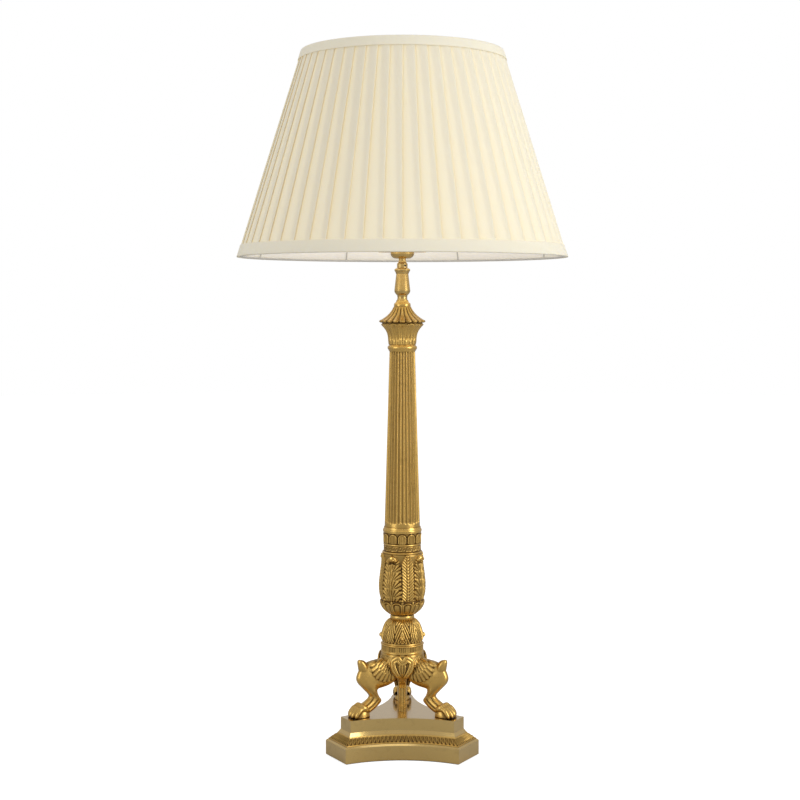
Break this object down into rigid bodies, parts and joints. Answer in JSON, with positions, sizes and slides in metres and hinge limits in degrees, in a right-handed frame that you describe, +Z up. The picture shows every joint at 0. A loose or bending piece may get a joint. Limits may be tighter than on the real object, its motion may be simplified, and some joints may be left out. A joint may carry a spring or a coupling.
{
  "type": "table lamp",
  "caption": "Table lamp with a tapering fluted brass column on three animal legs and a concave three-sided plinth, under a pleated empire shade.",
  "frame": {"origin": "on the column's axis, in the plane of the felt that rests on the table", "axes": "+Z up along the column, front towards -Y, where two of the three legs and a concave side of the plinth face the viewer"},
  "size_m": [0.4571, 0.4572, 0.9878],
  "materials": {
    "felt": "matt felt",
    "plinth_brass": "polished antique brass",
    "antique_brass": "satin antique brass with dark recesses",
    "iron": "rough cast",
    "rubber": "matt",
    "steel": "zinc plated",
    "fitting_brass": "bright brass",
    "liner_board": "pressed board",
    "black_moulding": "moulded phenolic",
    "contact_brass": "plain",
    "bulb_cap_metal": "plain",
    "bulb_glass": "frosted",
    "pleated_fabric": "pleated cream cloth",
    "lining_fabric": "smooth off-white lining",
    "trim_fabric": "plain cream cloth band",
    "frame_wire": "white enamelled wire"
  },
  "bodies": {
    "lamp": {"base_felt": "felt", "plinth_foot": "plinth_brass", "plinth_band": "antique_brass", "plinth_block": "plinth_brass", "ballast_plate": "iron", "cord_grommet": "rubber", "threaded_rod": "steel", "rod_washer": "steel", "rod_nut": "steel", "leg_screws": "steel", "leg_back": "antique_brass", "leg_left": "antique_brass", "leg_right": "antique_brass", "centre_post": "antique_brass", "plaque_front": "antique_brass", "plaque_right": "antique_brass", "plaque_left": "antique_brass", "leg_hub": "antique_brass", "reeded_ring": "antique_brass", "acanthus_knop": "antique_brass", "knop_collar": "antique_brass", "vase_collar": "antique_brass", "lotus_cup": "antique_brass", "vase": "antique_brass", "wave_frieze": "antique_brass", "arcade_band": "antique_brass", "column_base_ring": "antique_brass", "fluted_column": "antique_brass", "column_ring": "antique_brass", "capital_bell": "antique_brass", "capital_canopy": "antique_brass", "neck_ring": "antique_brass", "neck_baluster": "antique_brass", "neck_collar": "antique_brass", "knuckle": "antique_brass", "set_screw": "steel", "holder_dish": "antique_brass", "harp_saddle": "fitting_brass", "lampholder_cap": "fitting_brass", "lampholder_shell": "fitting_brass", "insulating_liner": "liner_board", "lampholder_body": "black_moulding", "screw_shell": "contact_brass", "centre_contact": "contact_brass"},
    "harp": {"harp": "fitting_brass"},
    "sleeve_left": {"harp_sleeve_left": "fitting_brass"},
    "sleeve_right": {"harp_sleeve_right": "fitting_brass"},
    "shade": {"shade_cover": "pleated_fabric", "shade_lining": "lining_fabric", "shade_bottom_trim": "trim_fabric", "shade_top_trim": "trim_fabric", "shade_bottom_ring": "frame_wire", "shade_top_ring": "frame_wire", "shade_ribs": "frame_wire", "shade_spider": "frame_wire"},
    "finial": {"finial": "antique_brass"},
    "bulb": {"bulb_cap": "bulb_cap_metal", "bulb_glass": "bulb_glass"},
    "switch_key": {"switch_key": "black_moulding"}
  },
  "joints": [
    {"name": "harp_lift", "type": "slide", "parent": "lamp", "child": "harp", "axis": [0, 0, 1], "range_m": [0, 0.022]},
    {"name": "sleeve_left_lift", "type": "slide", "parent": "harp", "child": "sleeve_left", "axis": [0, 0, 1], "range_m": [0, 0.012]},
    {"name": "sleeve_right_lift", "type": "slide", "parent": "harp", "child": "sleeve_right", "axis": [0, 0, 1], "range_m": [0, 0.012]},
    {"name": "shade_turn", "type": "hinge", "parent": "harp", "child": "shade", "pos_m": [0, 0, 0.9525], "axis": [0, 0, 1], "continuous": true},
    {"name": "finial_turn", "type": "hinge", "parent": "harp", "child": "finial", "pos_m": [0, 0, 0.9545], "axis": [0, 0, 1], "continuous": true},
    {"name": "bulb_turn", "type": "hinge", "parent": "lamp", "child": "bulb", "pos_m": [0, 0, 0.7426], "axis": [0, 0, 1], "continuous": true},
    {"name": "switch_turn", "type": "hinge", "parent": "lamp", "child": "switch_key", "pos_m": [0, -0.034, 0.7331], "axis": [0, -1, 0], "continuous": true}
  ]
}
